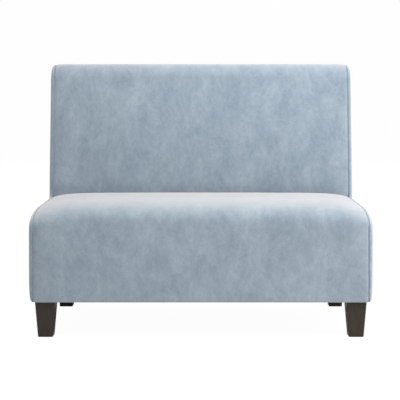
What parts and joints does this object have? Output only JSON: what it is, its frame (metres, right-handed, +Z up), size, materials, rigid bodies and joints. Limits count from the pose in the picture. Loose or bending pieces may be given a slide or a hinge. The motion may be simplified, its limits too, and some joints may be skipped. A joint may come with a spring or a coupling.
{
  "type": "restaurant booth",
  "caption": "Armless upholstered restaurant booth: one smooth sprung seat with a rounded front edge, a leaning padded back and tapered timber legs on levelling glides.",
  "frame": {"origin": "on the floor under the centre of the booth's bounding box, with the glides screwed in", "axes": "+X along the width, to the right of someone who faces the booth; +Y from the seat's front to the outer back; +Z up"},
  "size_m": [1.219, 0.7, 0.9935],
  "materials": {
    "velvet": "pale blue velvet",
    "foam": "cut polyurethane foam",
    "wadding": "white polyester wadding",
    "felt": "grey needled felt",
    "webbing": "woven elastic webbing",
    "cambric": "black non-woven dust cloth",
    "timber": "planed beech",
    "plywood": "birch plywood",
    "dark_wood": "espresso stained, satin lacquer",
    "spring_steel": "drawn wire",
    "zinc_steel": "zinc plated",
    "brass": "turned",
    "nylon": "moulded"
  },
  "bodies": {
    "booth": {"front_rail": "timber", "spring_rail": "timber", "rear_bottom_rail": "timber", "back_lower_rail": "timber", "back_top_rail": "timber", "left_end_frame": "plywood", "right_end_frame": "plywood", "centre_frame": "plywood", "corner_blocks": "timber", "tee_nuts": "zinc_steel", "hanger_bolts": "zinc_steel", "leg_inserts": "brass", "front_left_leg": "dark_wood", "front_right_leg": "dark_wood", "rear_left_leg": "dark_wood", "rear_right_leg": "dark_wood", "seat_springs": "spring_steel", "spring_clips": "zinc_steel", "spring_tie_wires": "spring_steel", "spring_pad": "felt", "edge_roll": "felt", "seat_foam": "foam", "front_padding": "wadding", "seat_cover": "velvet", "left_side_panel": "velvet", "right_side_panel": "velvet", "seat_left_piping": "velvet", "seat_right_piping": "velvet", "back_left_piping": "velvet", "back_right_piping": "velvet", "back_webbing": "webbing", "back_foam": "foam", "back_cover": "velvet", "outer_back_board": "plywood", "outer_back_panel": "velvet", "dust_cover": "cambric"},
    "front_left_glide": {"front_left_glide_foot": "nylon", "front_left_glide_stem": "zinc_steel"},
    "front_right_glide": {"front_right_glide_foot": "nylon", "front_right_glide_stem": "zinc_steel"},
    "rear_left_glide": {"rear_left_glide_foot": "nylon", "rear_left_glide_stem": "zinc_steel"},
    "rear_right_glide": {"rear_right_glide_foot": "nylon", "rear_right_glide_stem": "zinc_steel"}
  },
  "joints": [
    {"name": "front_left_levelling", "type": "slide", "parent": "booth", "child": "front_left_glide", "axis": [0, 0, -1], "range_m": [0, 0.008]},
    {"name": "front_right_levelling", "type": "slide", "parent": "booth", "child": "front_right_glide", "axis": [0, 0, -1], "range_m": [0, 0.008]},
    {"name": "rear_left_levelling", "type": "slide", "parent": "booth", "child": "rear_left_glide", "axis": [0, 0, -1], "range_m": [0, 0.008]},
    {"name": "rear_right_levelling", "type": "slide", "parent": "booth", "child": "rear_right_glide", "axis": [0, 0, -1], "range_m": [0, 0.008]}
  ]
}
